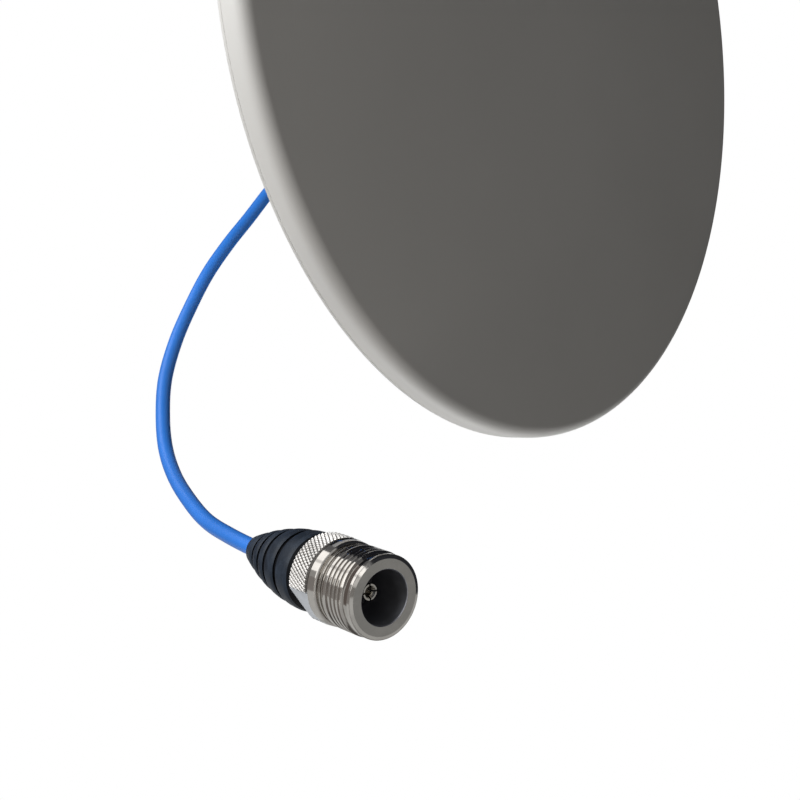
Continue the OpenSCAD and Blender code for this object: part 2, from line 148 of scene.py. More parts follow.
# The connector's finer forms, which the solids lack or have plainer
MOUTH_BEVEL = 0.12
NOSE_BEVEL = 0.92
RING_R = 7.78
RING_START = 0.25
RING_END = 0.85
RING_TAPER = 0.14
RING_STEP = 0.25
THREAD_PITCH = 1.15
THREAD_END = 6.9
THREAD_RUN_OUT = 0.28
THREAD_LEAD = 0.4
THREAD_TURN = 1.72
FLANGE_TAPER = 0.15
COLLAR_GAP = 0.35
KNURL_LINES = 66
KNURL_RISE = 1.35
KNURL_DEPTH = 0.26
KNURL_TURN = math.radians(73)
RIB_ROUNDING = 0.3
RIB_ROUNDING_L = 0.9

# The lead, whose jacket is a hair thinner than the solid cable
CABLE_R = 1.8
JACKET_INSET = 0.04
SEAT_Z = -1.3
BOOT_STRAIGHT = 8.0
CABLE_STOP = COLLAR_END + 1.0
LEAD_END = Vector((167.8, -12.1, GLAND_TOP - 36.6))
JACK_AXIS = Vector((
    math.sin(LEAN) * math.cos(HEADING),
    math.sin(LEAN) * math.sin(HEADING),
    -math.cos(LEAN),
))
JACK = LEAD_END + BOOT_END * JACK_AXIS

# The connector's frame: z = 0 is its front face, and +z points out of its mouth
JACK_MATRIX = (
    Matrix.Translation(JACK * MM)
    @ Matrix.Rotation(HEADING, 4, "Z")
    @ Matrix.Rotation(math.pi - LEAN, 4, "Y")
)


# Node helpers
def new_material(name):
    material = bpy.data.materials.new(name)
    material.use_nodes = True
    return material, material.node_tree.nodes, material.node_tree.links


def shader_of(material):
    return material.node_tree.nodes["Principled BSDF"]


def noise(material, scale, detail=3.0, roughness=0.5, stretch=(1, 1, 1)):
    tree = material.node_tree
    coords = tree.nodes.new("ShaderNodeTexCoord")
    mapping = tree.nodes.new("ShaderNodeMapping")
    mapping.inputs["Scale"].default_value = stretch
    texture = tree.nodes.new("ShaderNodeTexNoise")
    texture.inputs["Scale"].default_value = scale
    texture.inputs["Detail"].default_value = detail
    texture.inputs["Roughness"].default_value = roughness
    tree.links.new(coords.outputs["Object"], mapping.inputs["Vector"])
    tree.links.new(mapping.outputs["Vector"], texture.inputs["Vector"])
    return texture.outputs["Fac"]


def ramp(material, value, stops):
    tree = material.node_tree
    node = tree.nodes.new("ShaderNodeValToRGB")
    elements = node.color_ramp.elements
    while len(elements) < len(stops):
        elements.new(0.5)
    for element, (place, colour) in zip(elements, stops):
        element.position = place
        element.color = tuple(colour) + (1.0,)
    tree.links.new(value, node.inputs["Fac"])
    return node.outputs["Color"]


def spread(material, value, low, high):
    tree = material.node_tree
    node = tree.nodes.new("ShaderNodeMapRange")
    node.inputs["From Min"].default_value = 0.3
    node.inputs["From Max"].default_value = 0.7
    node.inputs["To Min"].default_value = low
    node.inputs["To Max"].default_value = high
    tree.links.new(value, node.inputs["Value"])
    return node.outputs["Result"]


def bump(material, value, strength, distance):
    tree = material.node_tree
    node = tree.nodes.new("ShaderNodeBump")
    node.inputs["Strength"].default_value = strength
    node.inputs["Distance"].default_value = distance
    tree.links.new(value, node.inputs["Height"])
    return node.outputs["Normal"]


# Materials
def moulded_plastic(name, colour, roughness=0.5, grain=0.12):
    material, _, links = new_material(name)
    shader = shader_of(material)
    broad = noise(material, 14.0, 2.0)
    dark = [c * 0.965 for c in colour]
    light = [min(1.0, c * 1.02) for c in colour]
    links.new(ramp(material, broad, [(0.3, dark), (0.7, light)]), shader.inputs["Base Color"])
    fine = noise(material, 1500.0, 2.0, 0.6)
    links.new(spread(material, fine, roughness - 0.05, roughness + 0.06), shader.inputs["Roughness"])
    links.new(bump(material, fine, grain, 0.0002), shader.inputs["Normal"])
    shader.inputs["IOR"].default_value = 1.48
    return material


def rubber(name, colour, roughness=0.5, gloss=0.5):
    material, _, links = new_material(name)
    shader = shader_of(material)
    dust = noise(material, 420.0, 5.0, 0.65)
    light = [c * 1.9 + 0.004 for c in colour]
    links.new(ramp(material, dust, [(0.42, colour), (0.78, light)]), shader.inputs["Base Color"])
    fine = noise(material, 1900.0, 3.0, 0.6)
    links.new(spread(material, dust, roughness - 0.1, roughness + 0.12), shader.inputs["Roughness"])
    links.new(bump(material, fine, 0.25, 0.00015), shader.inputs["Normal"])
    shader.inputs["Specular IOR Level"].default_value = gloss
    return material


def jacket(name, colour):
    material, _, links = new_material(name)
    shader = shader_of(material)
    broad = noise(material, 60.0, 3.0)
    dark = [c * 0.93 for c in colour]
    light = [min(1.0, c * 1.05) for c in colour]
    links.new(ramp(material, broad, [(0.3, dark), (0.7, light)]), shader.inputs["Base Color"])
    fine = noise(material, 900.0, 2.0)
    links.new(spread(material, fine, 0.3, 0.4), shader.inputs["Roughness"])
    links.new(bump(material, fine, 0.06, 0.0001), shader.inputs["Normal"])
    return material


def jack_coords(material):
    """Coordinates in the connector's own frame."""
    tree = material.node_tree
    coords = tree.nodes.new("ShaderNodeTexCoord")
    mapping = tree.nodes.new("ShaderNodeMapping")
    mapping.vector_type = "TEXTURE"
    mapping.inputs["Location"].default_value = JACK_MATRIX.to_translation()
    mapping.inputs["Rotation"].default_value = JACK_MATRIX.to_euler()
    tree.links.new(coords.outputs["Object"], mapping.inputs["Vector"])
    return mapping.outputs["Vector"]


def turned_metal(name, colour, low, high, lines, metallic=1.0):
    """Plated metal with fine turning lines round the connector's axis and a slight stain."""
    material, graph, links = new_material(name)
    shader = shader_of(material)
    shader.inputs["Metallic"].default_value = metallic
    place = jack_coords(material)
    split = graph.new("ShaderNodeSeparateXYZ")
    links.new(place, split.inputs["Vector"])
    flat = graph.new("ShaderNodeVectorMath")
    flat.operation = "MULTIPLY"
    flat.inputs[1].default_value = (1, 1, 0)
    links.new(place, flat.inputs[0])
    radius = graph.new("ShaderNodeVectorMath")
    radius.operation = "LENGTH"
    links.new(flat.outputs["Vector"], radius.inputs[0])
    along = graph.new("ShaderNodeCombineXYZ")
    links.new(radius.outputs["Value"], along.inputs["X"])
    links.new(split.outputs["Z"], along.inputs["Y"])
    turning = graph.new("ShaderNodeTexNoise")
    turning.inputs["Scale"].default_value = 9000.0
    turning.inputs["Detail"].default_value = 2.0
    links.new(along.outputs["Vector"], turning.inputs["Vector"])
    stain = noise(material, 260.0, 4.0, 0.6)
    dark = [c * 0.86 for c in colour]
    links.new(ramp(material, stain, [(0.3, dark), (0.65, colour)]), shader.inputs["Base Color"])
    links.new(spread(material, stain, low, high), shader.inputs["Roughness"])
    links.new(bump(material, turning.outputs["Fac"], lines, 0.00005), shader.inputs["Normal"])
    return material


def brushed(name, colour, roughness=0.34):
    material, _, links = new_material(name)
    shader = shader_of(material)
    shader.inputs["Metallic"].default_value = 1.0
    grain = noise(material, 700.0, 4.0, 0.6, (1, 9, 1))
    dark = [c * 0.85 for c in colour]
    links.new(ramp(material, grain, [(0.3, dark), (0.7, colour)]), shader.inputs["Base Color"])
    links.new(spread(material, grain, roughness - 0.08, roughness + 0.1), shader.inputs["Roughness"])
    links.new(bump(material, grain, 0.1, 0.0001), shader.inputs["Normal"])
    return material


RADOME = moulded_plastic("radome_plastic", (0.78, 0.785, 0.77), 0.52, 0.1)
BASE = moulded_plastic("base_plastic", (0.79, 0.795, 0.78), 0.5, 0.14)
NUT = moulded_plastic("nut_plastic", (0.8, 0.8, 0.77), 0.46, 0.1)
CAP = moulded_plastic("cap_plastic", (0.76, 0.76, 0.73), 0.46, 0.1)
NYLON = moulded_plastic("screw_nylon", (0.76, 0.75, 0.7), 0.36, 0.05)
FOAM = moulded_plastic("foam", (0.85, 0.84, 0.8), 0.85, 0.5)
LAMINATE = moulded_plastic("board_laminate", (0.55, 0.46, 0.28), 0.34, 0.1)
INSULATOR = moulded_plastic("insulator_plastic", (0.1, 0.1, 0.11), 0.4, 0.05)
BUSHING = rubber("bushing_rubber", (0.03, 0.03, 0.033), 0.6)
BOOT = rubber("boot_rubber", (0.013, 0.02, 0.032), 0.45, 0.2)
# A darker copy of the boot's rubber: painted shade in its grooves and on its front bevel.
BOOT_SHADE = rubber("boot_rubber_painted_shade", (0.003, 0.0035, 0.005), 0.7, 0.05)
JACKET = jacket("cable_jacket", (0.03, 0.22, 0.8))
NICKEL = turned_metal("nickel", (0.58, 0.56, 0.53), 0.07, 0.14, 0.05)
# A brighter, half-diffuse copy of the nickel: painted sheen on the knurl.
KNURL_SHEEN = turned_metal("nickel_knurl_painted_sheen", (0.92, 0.91, 0.89), 0.3, 0.4, 0.03, 0.55)
# A bluish, half-diffuse copy of the nickel: a painted reflection on the wrench flats.
FLAT_REFLECTION = turned_metal("nickel_flat_painted_reflection", (0.67, 0.715, 0.78), 0.3, 0.4, 0.03, 0.55)
# A dark copy of the nickel: painted shade in the knurl's cuts and at the collar's front.
CUT_SHADE = turned_metal("nickel_cut_painted_shade", (0.1, 0.095, 0.09), 0.4, 0.5, 0.03)
# A dark, bluish copy of the nickel: painted shade in the bore and in the thread's roots.
HOLLOW_SHADE = turned_metal("nickel_bore_painted_shade", (0.32, 0.33, 0.365), 0.4, 0.5, 0.05)
CONTACT = turned_metal("contact_plating", (0.74, 0.71, 0.65), 0.14, 0.24, 0.05)
SCREW = brushed("screw_steel", (0.6, 0.61, 0.62))
WASHER = brushed("washer_steel", (0.62, 0.63, 0.64))
SOLDER = brushed("solder", (0.55, 0.56, 0.57), 0.28)
COPPER = brushed("foil_copper", (0.72, 0.42, 0.26), 0.3)
BRASS = brushed("pin_brass", (0.68, 0.5, 0.24), 0.3)

# The solids that are shown as they are, with their materials
KEPT = {
    "cover_screws": SCREW,
    "mounting_nut": NUT,
    "nut_washer": WASHER,
    "gland_cap": CAP,
    "cable_bushing": BUSHING,
    "antenna_board": LAMINATE,
    "upper_foil": COPPER,
    "lower_foil": COPPER,
    "shorting_pins": BRASS,
    "board_screws": NYLON,
    "foam_pad": FOAM,
    "feed_ferrule": BRASS,
    "feed_pin": BRASS,
    "feed_solder": SOLDER,
    "cable_ferrule": BRASS,
    "connector_insulator": INSULATOR,
    "centre_contact": CONTACT,
}
for name, material in KEPT.items():
    for slot in nodes[name].material_slots:
        slot.material = material


# Mesh helpers
class Shape:
    """Vertices in millimetres, and faces with a material number each."""

    def __init__(self):
        self.points = []
        self.faces = []
        self.paint = []

    def add(self, points, faces, paint=0):
        first = len(self.points)
        self.points.extend([tuple(p) for p in points])
        for face in faces:
            self.faces.append([first + i for i in face])
            self.paint.append(paint)

    def grid(self, rows, paint=0, wrap=True):
        """Rows of points of one length, joined to each other by quads."""
        count = len(rows[0])
        faces = []
        for i in range(len(rows) - 1):
            for j in range(count if wrap else count - 1):
                k = (j + 1) % count
                a, b = i * count, (i + 1) * count
                faces.append((a + j, a + k, b + k, b + j))
        self.add([p for row in rows for p in row], faces, paint)

    def cap(self, row, paint=0):
        self.add(row, [list(range(len(row)))], paint)

    def lathe(self, profile, count, paint=0, closed=False, at=(0.0, 0.0)):
        """Turns (radius, z) points round a line along z. An end on that line is closed by a fan."""
        turns = [2 * math.pi * j / count for j in range(count)]
        path = list(profile) + ([profile[0]] if closed else [])
        first, last = path[0], path[-1]
        body = path[(1 if first[0] < 1e-6 else 0):(len(path) - 1 if last[0] < 1e-6 else len(path))]
        rows = [[(at[0] + r * math.cos(t), at[1] + r * math.sin(t), z) for t in turns] for r, z in body]
        self.grid(rows, paint)
        for end, row in ((first, rows[0]), (last, rows[-1])):
            if end[0] < 1e-6:
                fan = [(count, j, (j + 1) % count) for j in range(count)]
                self.add(row + [(at[0], at[1], end[1])], fan, paint)

    def make(self, name, materials, angle=32, matrix=None):
        mesh = bpy.data.meshes.new(name)
        mesh.from_pydata([tuple(c * MM for c in p) for p in self.points], [], self.faces)
        for material in materials:
            mesh.materials.append(material)
        mesh.polygons.foreach_set("material_index", self.paint)
        work = bmesh.new()
        work.from_mesh(mesh)
        bmesh.ops.remove_doubles(work, verts=work.verts, dist=1e-7)
        bmesh.ops.recalc_face_normals(work, faces=work.faces)
        work.to_mesh(mesh)
        work.free()
        mesh.polygons.foreach_set("use_smooth", [True] * len(mesh.polygons))
        mesh.set_sharp_from_angle(angle=math.radians(angle))
        if matrix is not None:
            mesh.transform(matrix)
        piece = bpy.data.objects.new(name, mesh)
        bpy.context.scene.collection.objects.link(piece)
        return piece


def rounded(points, radius, steps=4):
    """An open line of (radius, z) points with each inner corner rounded."""
    out = [points[0]]
    for a, b, c in zip(points, points[1:], points[2:]):
        p, q, s = Vector(a), Vector(b), Vector(c)
        to_a, to_c = p - q, s - q
        if to_a.length < 1e-6 or to_c.length < 1e-6:
            continue
        cut = min(radius, 0.45 * to_a.length, 0.45 * to_c.length)
        start, end = q + to_a.normalized() * cut, q + to_c.normalized() * cut
        for i in range(steps + 1):
            t = i / steps
            point = (1 - t) ** 2 * start + 2 * t * (1 - t) * q + t * t * end
            out.append((point.x, point.y))
    out.append(points[-1])
    return out


def settle(piece, slot, *stands_for):
    """Puts a piece on the fixed body, and hides the nodes that it stands for. The material slot is not
    used.
    """
    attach(piece, "root")
    if stands_for:
        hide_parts(*stands_for)


# The cable, whose free part runs through these points above the cap
FREE_LEAD = (
    (0, 0, 1), (2, -0.5, 12.5), (8, -2.5, 22.5), (17, -4, 30), (27.5, -5.5, 35), (39, -6, 37.5),
    (51, -6, 38), (62.5, -5.5, 37), (74.5, -4.5, 35.5), (86.5, -4.5, 34.5), (98, -5.5, 33),
    (109.5, -7, 31), (121, -9, 27.5), (131, -11, 22), (140.5, -13, 15), (148.5, -14, 6),
    (155, -14.5, -4), (160.5, -14, -14.5), (164.5, -13, -25.5),
)


def jack_point(back):
    """A point on the connector's axis, behind its front face."""
    return JACK - back * JACK_AXIS


def cable_line(steps):
    route = [Vector((0, 0, SEAT_Z)), Vector((0, 0, BUSHING_Z)), Vector((0, 0, BUSHING_TOP))]
    route += [Vector((x, y, z + GLAND_TOP)) for x, y, z in FREE_LEAD]
    route += [LEAD_END, jack_point(BOOT_END - BOOT_STRAIGHT), jack_point(CABLE_STOP)]
    # A Catmull-Rom curve through the points
    padded = [2 * route[0] - route[1]] + route + [2 * route[-1] - route[-2]]
    line = []
    for a, b, c, d in zip(padded, padded[1:], padded[2:], padded[3:]):
        for s in range(steps):
            t = s / steps
            line.append(b + t / 2 * (c - a + t * (2 * a - 5 * b + 4 * c - d + t * (3 * (b - c) + d - a))))
    line.append(route[-1])
    return line


def make_cable():
    line = cable_line(8)
    sides = 20
    shape = Shape()
    rows = []
    side = Vector((0, 1, 0))
    for i, point in enumerate(line):
        along = (line[min(i + 1, len(line) - 1)] - line[max(i - 1, 0)]).normalized()
        side = (side - side.dot(along) * along).normalized()
        other = along.cross(side)
        rows.append([
            tuple(point + (CABLE_R - JACKET_INSET) * (math.cos(t) * side + math.sin(t) * other))
            for t in [2 * math.pi * k / sides for k in range(sides)]
        ])
    shape.grid(rows)
    shape.cap(rows[0])
    shape.cap(rows[-1])
    cable = shape.make("coax_jacket", [JACKET], 50)
    settle(cable, "cable_jacket", "coax_cable")
    length = sum((b - a).length for a, b in zip(line, line[1:])) * MM
    return cable, tuple(p * MM for p in line), length


cable, cable_path, cable_length = make_cable()


# The connector
def helix(shape, start, end, pitch, crest_r, profile, root_r, sides, lead, turn=0.0, floor_paint=0):
    """A thread along +z that rises over a lead at each end.

    profile gives (share of pitch, depth below the crest), and what lies deep gets the floor's paint, which
    on the connector is painted shade in the thread's roots.
    """
    sunk_r, overrun, deep = root_r - 0.12, 0.3, 0.3
    count = int(math.ceil((end - start) / pitch)) + 1
    rows = []
    for k in range(-1, count):
        for share, depth in profile:
            row = []
            for j in range(sides + 1):
                z = start + (k + share + j / sides) * pitch
                rise = min(max((z - start) / lead, 0.0), max((end - z) / lead, 0.0), 1.0)
                r = min(crest_r - depth, sunk_r + (crest_r - sunk_r) * rise)
                t = 2 * math.pi * j / sides + turn
                row.append((r * math.cos(t), r * math.sin(t), min(max(z, start - overrun), end + overrun)))
            rows.append(row)
    first = len(shape.paint)
    shape.grid(rows, wrap=False)
    depths = [depth for _, depth in profile]
    for i in range(first, len(shape.paint)):
        strip = (i - first) // sides
        if min(depths[strip % len(depths)], depths[(strip + 1) % len(depths)]) > deep:
            shape.paint[i] = floor_paint


# A sharp groove and a wide crest
JACK_THREAD = (
    (0.0, THREAD_DEPTH), (0.04, THREAD_DEPTH - 0.01), (0.25, 0.1), (0.29, 0.04), (0.34, 0.0),
    (0.66, 0.0), (0.71, 0.04), (0.75, 0.1), (0.96, THREAD_DEPTH - 0.01),
)

# The body's materials, by their numbers on its faces: plain nickel, the knurl's painted sheen, painted
# shade in the bore and the thread's roots, painted shade in the cuts, and the flats' painted reflection
BODY_MATERIALS = [NICKEL, KNURL_SHEEN, HOLLOW_SHADE, CUT_SHADE, FLAT_REFLECTION]
PLATED, KNURLED, HOLLOW_SHADED, CUT_SHADED, FLAT_REFLECTED = range(5)


def triangle(x):
    """0 at whole numbers and 1 half way between them."""
    return 1 - abs(2 * (x - math.floor(x)) - 1)


def knurl(t, along):
    """The depth of the knurl at a place on the collar, and whether it gets painted shade, in or near a cut.

    Two sets of cuts cross each other. The second is deep on one side of the collar, and faint on the other;
    the painted shade along it follows that too.
    """
    around = KNURL_LINES * t / (2 * math.pi)
    one, other = triangle(around + along), triangle(around - along)
    fade_from, fade_over = 0.57, 0.2
    cross = min(max((math.cos(t - KNURL_TURN) - fade_from) / fade_over, 0.0), 1.0)
    slope, faint_slope, deep_slope = 2.0, 14.0, 1.8
    other_slope = faint_slope + (deep_slope - faint_slope) * cross
    depth = KNURL_DEPTH * (1 - min(1.0, one * slope, other * other_slope))
    # Faces along a cut or at a crossing of cuts get painted shade, more of it where the second cuts are
    # deep.
    dark_one, dark_other, dark_crossing = 0.15, 0.19 * cross, 0.22 + 0.2 * cross
    dark = one < dark_one or other < dark_other or max(one, other) < dark_crossing
    return depth, dark


def collar_rows():
    """The knurled collar's points with its two wrench flats, and its faces' paint: painted sheen on the
    knurl, painted shade in its cuts and front bevel, and a painted reflection on the flats.
    """
    columns, steps = KNURL_LINES * 10, 58
    rows, paints = [], []
    for i in range(steps + 1):
        w = FLANGE_END + (COLLAR_END - FLANGE_END) * i / steps
        edge = min(w - FLANGE_END, COLLAR_END - w)
        bevelled = COLLAR_R - max(0.0, COLLAR_BEVEL - edge)
        # The collar's front bevel, beside the groove at the flange, gets painted shade.
        in_bevel = w < FLANGE_END + COLLAR_BEVEL - 0.05
        row = []
        for j in range(columns):
            t = 2 * math.pi * j / columns
            depth, dark = knurl(t, (w - FLANGE_END) / KNURL_RISE)
            knurled = COLLAR_R - depth
            face = abs(math.cos(t - FLAT_TURN))
            flat = FLAT / face if face > 0.5 else COLLAR_R
            r = min(knurled, bevelled, flat)
            row.append((r * math.cos(t), r * math.sin(t), -w))
            paints.append(FLAT_REFLECTED if flat < knurled else CUT_SHADED if dark or in_bevel else KNURLED)
        rows.append(row)
    return rows, paints


def make_body():
    shape = Shape()
    sides = 160
    root_r = BARREL_R - THREAD_DEPTH
    rib_front, rib_back = NECK_RIB - NECK_RIB_W / 2, NECK_RIB + NECK_RIB_W / 2
    flange_front_r = FLANGE_R - FLANGE_TAPER
    core_r = FLAT - 0.2
    mouth = [(MOUTH_R, -SHOULDER), (MOUTH_R, -MOUTH_BEVEL), (MOUTH_R + MOUTH_BEVEL, 0.0)]
    ring = [
        (BARREL_R - NOSE_BEVEL, 0.0), (RING_R, -RING_START), (RING_R, -RING_END),
        (RING_R - RING_TAPER, -THREAD_START + RING_STEP), (root_r, -THREAD_START),
    ]
    barrel = [(root_r, -THREAD_END), (BARREL_R, -THREAD_END - THREAD_RUN_OUT), (BARREL_R, -LAND_END)]
    neck = [
        (NECK_R, -LAND_END), (NECK_R, -rib_front), (NECK_RIB_R, -rib_front),
        (NECK_RIB_R, -rib_back), (NECK_R, -rib_back), (NECK_R, -NECK_END),
    ]
    flange = [
        (flange_front_r - COLLAR_BEVEL, -NECK_END), (flange_front_r, -NECK_END - COLLAR_BEVEL),
        (FLANGE_R, -FLANGE_END + COLLAR_GAP), (core_r, -FLANGE_END + COLLAR_GAP), (core_r, -COLLAR_END),
    ]
    tail = [
        (SPIGOT_R, -COLLAR_END), (SPIGOT_R, -SPIGOT_END), (FERRULE_HEAD_R, -SPIGOT_END),
        (FERRULE_HEAD_R, -FERRULE_SEAT), (BORE_R, -FERRULE_SEAT), (BORE_R, -SHOULDER), (MOUTH_R, -SHOULDER),
    ]
    profile = rounded(mouth + ring + barrel + neck + flange + tail, 0.09, 3)
    front = next(i for i, point in enumerate(profile) if point[1] > -0.01)
    # The bore gets a dark copy of the nickel as painted shade; the thread below gets it in its roots.
    shape.lathe(profile[:front + 1], sides, HOLLOW_SHADED)
    shape.lathe(profile[front:], sides, PLATED)
    helix(
        shape, -THREAD_END, -THREAD_START, THREAD_PITCH, BARREL_R, JACK_THREAD, root_r, sides,
        THREAD_LEAD, THREAD_TURN, HOLLOW_SHADED,
    )
    rows, paints = collar_rows()
    first = len(shape.paint)
    shape.grid(rows, KNURLED)
    shape.paint[first:] = paints[:len(shape.paint) - first]
    end_r = FLAT - 0.3
    # The collar's front end face gets painted shade; its back end face takes the knurl's paint.
    for row, paint in ((rows[0], CUT_SHADED), (rows[-1], KNURLED)):
        turns = [math.atan2(y, x) for x, y, z in row]
        inner = [(end_r * math.cos(t), end_r * math.sin(t), row[0][2]) for t in turns]
        shape.grid([row, inner], paint)
    body = shape.make("jack_body", BODY_MATERIALS, 28, JACK_MATRIX)
    settle(body, "nickel", "connector_body")
    return body


def boot_r(share):
    """The boot's radius at a share of its length behind the collar."""
    return BOOT_TAIL_R + (BOOT_FRONT_R - BOOT_TAIL_R) * math.cos(math.pi / 2 * share ** BOOT_FULLNESS)


def make_boot():
    """A black moulded boot: rings that bulge a little, with narrow grooves between them, and painted shade
    in the grooves and on the front bevel.
    """
    half = GROOVE_W / 2 / BOOT_L
    edges = [(BOOT_BEVEL_L + 0.5) / BOOT_L] + list(BOOT_GROOVES) + [1.0]
    last = len(edges) - 2
    steps, sides = 12, 128
    mouth = (BOOT_FRONT_R - BOOT_BEVEL, -COLLAR_END)
    outer = [mouth]
    shape = Shape()
    for n, (start, end) in enumerate(zip(edges, edges[1:])):
        low = start + (half if n else 0.0)
        high = end - (half if n < last else 0.0)
        for i in range(steps + 1):
            t = i / steps
            share = low + (high - low) * t
            edge = min(t, 1 - t) * (high - low) * BOOT_L
            drop = RIB_ROUNDING * max(0.0, 1 - edge / RIB_ROUNDING_L) ** 2
            outer.append((boot_r(share) - drop, -COLLAR_END - BOOT_L * share))
            # The strip up to each ring's first point, the front bevel or the groove before the ring, gets
            # the darker rubber as painted shade.
            if i == 0:
                shape.lathe(outer, sides, 1)
                outer = outer[-1:]
        shape.lathe(outer, sides)
        outer = outer[-1:]
        if n < last:
            for share in (end - half, end + half):
                outer.append((boot_r(end) - GROOVE_DEPTH, -COLLAR_END - BOOT_L * share))
    cable_r, ferrule_r, spigot_r = CABLE_R + 0.3, 3.05, SPIGOT_R + 0.05
    ferrule_end = COLLAR_END + 6.0
    inner = [
        (cable_r, -BOOT_END), (cable_r, -ferrule_end), (ferrule_r, -ferrule_end), (ferrule_r, -SPIGOT_END),
        (spigot_r, -SPIGOT_END), (spigot_r, -COLLAR_END), mouth,
    ]
    shape.lathe(outer + inner, sides)
    boot = shape.make("cable_boot", [BOOT, BOOT_SHADE], 40, JACK_MATRIX)
    settle(boot, "boot_rubber", "connector_boot")
    return boot


body = make_body()
boot = make_boot()


# The disc
def screw_places():
    turns = [2 * math.pi * i / COVER_SCREWS for i in range(COVER_SCREWS)]
    return [(BOSS_RING * math.cos(t), BOSS_RING * math.sin(t)) for t in turns]


def make_radome():
    arc = []
    for i in range(17):
        t = math.pi / 2 * i / 16
        arc.append((DISC_R - EDGE_R + EDGE_R * math.sin(t), -DISC_H + EDGE_R - EDGE_R * math.cos(t)))
    profile = [(0.0, -DISC_H), (DISC_R * 0.5, -DISC_H), (DISC_R - EDGE_R - 0.3, -DISC_H)] + arc
    profile += rounded([
        (DISC_R, -DISC_H + EDGE_R + 0.2), (DISC_R, -LIP_H - SEAM_BEVEL), (DISC_R - SEAM_BEVEL, -LIP_H),
        (WALL_R, -LIP_H), (WALL_R, INNER_Z), (WALL_R - 2, INNER_Z),
    ], 0.08, 3)
    profile.append((0.0, INNER_Z))
    shape = Shape()
    shape.lathe(profile, 360)
    boss = [(BOSS_R, INNER_Z), (BOSS_R, -PLATE_T), (BOSS_BORE_R, -PLATE_T), (BOSS_BORE_R, INNER_Z)]
    for place in screw_places():
        shape.lathe(boss, 24, at=place)
    radome = shape.make("radome_cover", [RADOME], 35)
    settle(radome, "radome_plastic", "radome")


# The stud's broad moulded thread, which the solids have as a plain cylinder
STUD_PITCH = 2.0
STUD_THREAD_DEPTH = 0.9
STUD_THREAD = (
    (0.0, STUD_THREAD_DEPTH), (0.12, STUD_THREAD_DEPTH), (0.16, STUD_THREAD_DEPTH - 0.06),
    (0.34, 0.08), (0.38, 0.0), (0.62, 0.0), (0.66, 0.08),
    (0.84, STUD_THREAD_DEPTH - 0.06), (0.88, STUD_THREAD_DEPTH),
)


def cut(piece, cutter):
    """Takes the cutter's volume out of the piece's mesh."""
    change = piece.modifiers.new("cut", "BOOLEAN")
    change.operation = "DIFFERENCE"
    change.solver = "EXACT"
    change.object = cutter
    graph = bpy.context.evaluated_depsgraph_get()
    mesh = bpy.data.meshes.new_from_object(piece.evaluated_get(graph))
    piece.modifiers.remove(change)
    old = piece.data
    piece.data = mesh
    bpy.data.meshes.remove(old)
    spent = cutter.data
    bpy.data.objects.remove(cutter)
    bpy.data.meshes.remove(spent)


def make_plate():
    inner_r, spigot_r, back_bevel = STUD_NECK_R - 0.5, WALL_R - SPIGOT_GAP, 0.3
    plate = Shape()
    plate.lathe(rounded([
        (inner_r, -PLATE_T), (spigot_r, -PLATE_T), (spigot_r, -LIP_H), (DISC_R - 0.1, -LIP_H),
        (DISC_R, -LIP_H + 0.1), (DISC_R, -back_bevel), (DISC_R - back_bevel, 0.0), (RECESS_R, 0.0),
        (RECESS_R, -RECESS_DEPTH), (inner_r, -RECESS_DEPTH), (inner_r, -PLATE_T),
    ], 0.08, 3), 288)
    base = plate.make("base_plate_disc", [BASE], 35)
    past = 0.6
    hole = [
        (0.0, -PLATE_T - past), (SCREW_HOLE_R, -PLATE_T - past), (SCREW_HOLE_R, -SCREW_HEAD_DEPTH),
        (SCREW_HEAD_R, -SCREW_HEAD_DEPTH), (SCREW_HEAD_R, past), (0.0, past),
    ]
    holes = Shape()
    for place in screw_places():
        holes.lathe(hole, 32, at=place)
    cut(base, holes.make("screw_holes", [BASE]))
    base.data.polygons.foreach_set("use_smooth", [True] * len(base.data.polygons))
    base.data.set_sharp_from_angle(angle=math.radians(35))
    settle(base, "base_plastic", "base_plate")


def make_stud():
    root_r, end_bevel = STUD_R - STUD_THREAD_DEPTH, 0.4
    stud = Shape()
    stud.lathe(rounded([
        (WIRE_R, -PLATE_T), (STUD_NECK_R, -PLATE_T), (STUD_NECK_R, STUD_NECK_TOP),
        (root_r, STUD_NECK_TOP + 0.1), (root_r, STUD_H - end_bevel), (root_r - end_bevel, STUD_H),
        (BUSHING_R, STUD_H), (BUSHING_R, BUSHING_Z), (WIRE_R, BUSHING_Z), (WIRE_R, -PLATE_T),
    ], 0.1, 3), 128)
    helix(stud, STUD_NECK_TOP, STUD_H - 0.1, STUD_PITCH, STUD_R, STUD_THREAD, root_r, 128, 1.0)
    piece = stud.make("mounting_stud", [BASE], 35)
    settle(piece, "base_plastic")


make_radome()
make_plate()
make_stud()


# Stage: floor, lights and background
def light_path_mix(tree, seen, unseen):
    """One shader for what camera, mirror and glass rays see, and another for all other rays."""
    path = tree.nodes.new("ShaderNodeLightPath")
    first = tree.nodes.new("ShaderNodeMath")
    first.operation = "MAXIMUM"
    second = tree.nodes.new("ShaderNodeMath")
    second.operation = "MAXIMUM"
    mix = tree.nodes.new("ShaderNodeMixShader")
    tree.links.new(path.outputs["Is Camera Ray"], first.inputs[0])
    tree.links.new(path.outputs["Is Glossy Ray"], first.inputs[1])
    tree.links.new(first.outputs["Value"], second.inputs[0])
    tree.links.new(path.outputs["Is Transmission Ray"], second.inputs[1])
    tree.links.new(second.outputs["Value"], mix.inputs["Fac"])
    tree.links.new(unseen, mix.inputs[1])
    tree.links.new(seen, mix.inputs[2])
    return mix.outputs["Shader"]


